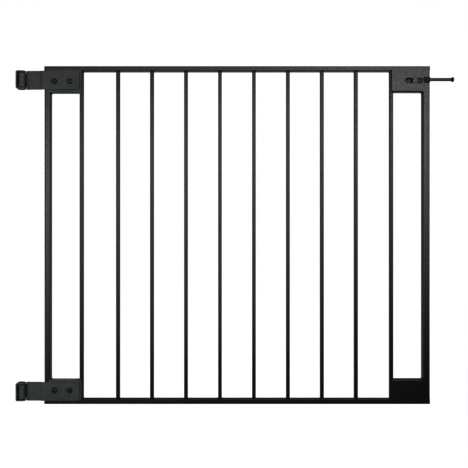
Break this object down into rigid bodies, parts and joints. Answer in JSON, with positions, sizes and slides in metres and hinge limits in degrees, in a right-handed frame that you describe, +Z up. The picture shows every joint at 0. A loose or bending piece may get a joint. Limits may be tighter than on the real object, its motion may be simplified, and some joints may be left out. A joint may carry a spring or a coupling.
{
  "type": "safety baby gate",
  "caption": "Wall-hinged steel child safety gate with upright bars, strap hinges and a sprung thumb-slide latch rod.",
  "frame": {"origin": "centre of the lower wall bracket's back face, level with the hinge pins' axis", "axes": "+X from the hinge-side wall towards the latch, -Y towards the user in front, +Z up"},
  "size_m": [0.9719, 0.04, 0.749],
  "materials": {
    "frame_coat": "satin black powder coat",
    "hinge_coat": "satin charcoal powder coat",
    "black_steel": "black oxide",
    "black_nylon": "fine matte moulding",
    "spring_steel": "drawn wire"
  },
  "bodies": {
    "wall_brackets": {"upper_wall_bracket": "hinge_coat", "lower_wall_bracket": "hinge_coat", "upper_hinge_pin": "black_steel", "lower_hinge_pin": "black_steel"},
    "gate": {"upper_hinge_strap": "hinge_coat", "lower_hinge_strap": "hinge_coat", "upper_hinge_corner_box": "hinge_coat", "lower_hinge_corner_box": "hinge_coat", "latch_cover_screw_upper": "black_steel", "latch_cover_screw_lower": "black_steel", "lower_latch_corner_box": "frame_coat", "latch_housing": "frame_coat", "top_rail": "frame_coat", "bottom_rail": "frame_coat", "hinge_side_post": "frame_coat", "latch_side_post": "frame_coat", "bar_01": "frame_coat", "bar_02": "frame_coat", "bar_03": "frame_coat", "bar_04": "frame_coat", "bar_05": "frame_coat", "bar_06": "frame_coat", "bar_07": "frame_coat", "bar_08": "frame_coat", "bar_09": "frame_coat", "bar_10": "frame_coat", "upper_hinge_bushing_top": "black_nylon", "upper_hinge_bushing_bottom": "black_nylon", "lower_hinge_bushing_top": "black_nylon", "lower_hinge_bushing_bottom": "black_nylon", "top_rail_cap_hinge_side": "black_nylon", "top_rail_cap_latch_side": "black_nylon", "bottom_rail_cap_hinge_side": "black_nylon", "bottom_rail_cap_latch_side": "black_nylon", "latch_guide": "black_nylon", "latch_rod_bushing": "black_nylon", "latch_back_cover": "black_nylon", "return_spring": "spring_steel", "upper_hinge_bolt_outer": "black_steel", "upper_hinge_washer_outer": "black_steel", "upper_hinge_nut_outer": "black_steel", "upper_hinge_bolt_inner": "black_steel", "upper_hinge_washer_inner": "black_steel", "upper_hinge_nut_inner": "black_steel", "lower_hinge_bolt_outer": "black_steel", "lower_hinge_washer_outer": "black_steel", "lower_hinge_nut_outer": "black_steel", "lower_hinge_bolt_inner": "black_steel", "lower_hinge_washer_inner": "black_steel", "lower_hinge_nut_inner": "black_steel"},
    "latch": {"latch_slider": "black_nylon", "latch_rod": "black_steel", "latch_rod_tip": "black_nylon", "latch_cross_pin": "black_steel"}
  },
  "joints": [
    {"name": "gate_swing", "type": "hinge", "parent": "wall_brackets", "child": "gate", "pos_m": [0.011, 0, 0], "axis": [0, 0, -1], "range_deg": [-75, 90]},
    {"name": "latch_slide", "type": "slide", "parent": "gate", "child": "latch", "axis": [-1, 0, 0], "range_m": [0, 0.016], "stiffness_N_per_m": 150, "springref_m": -0.02, "deforming": ["return_spring"]}
  ]
}
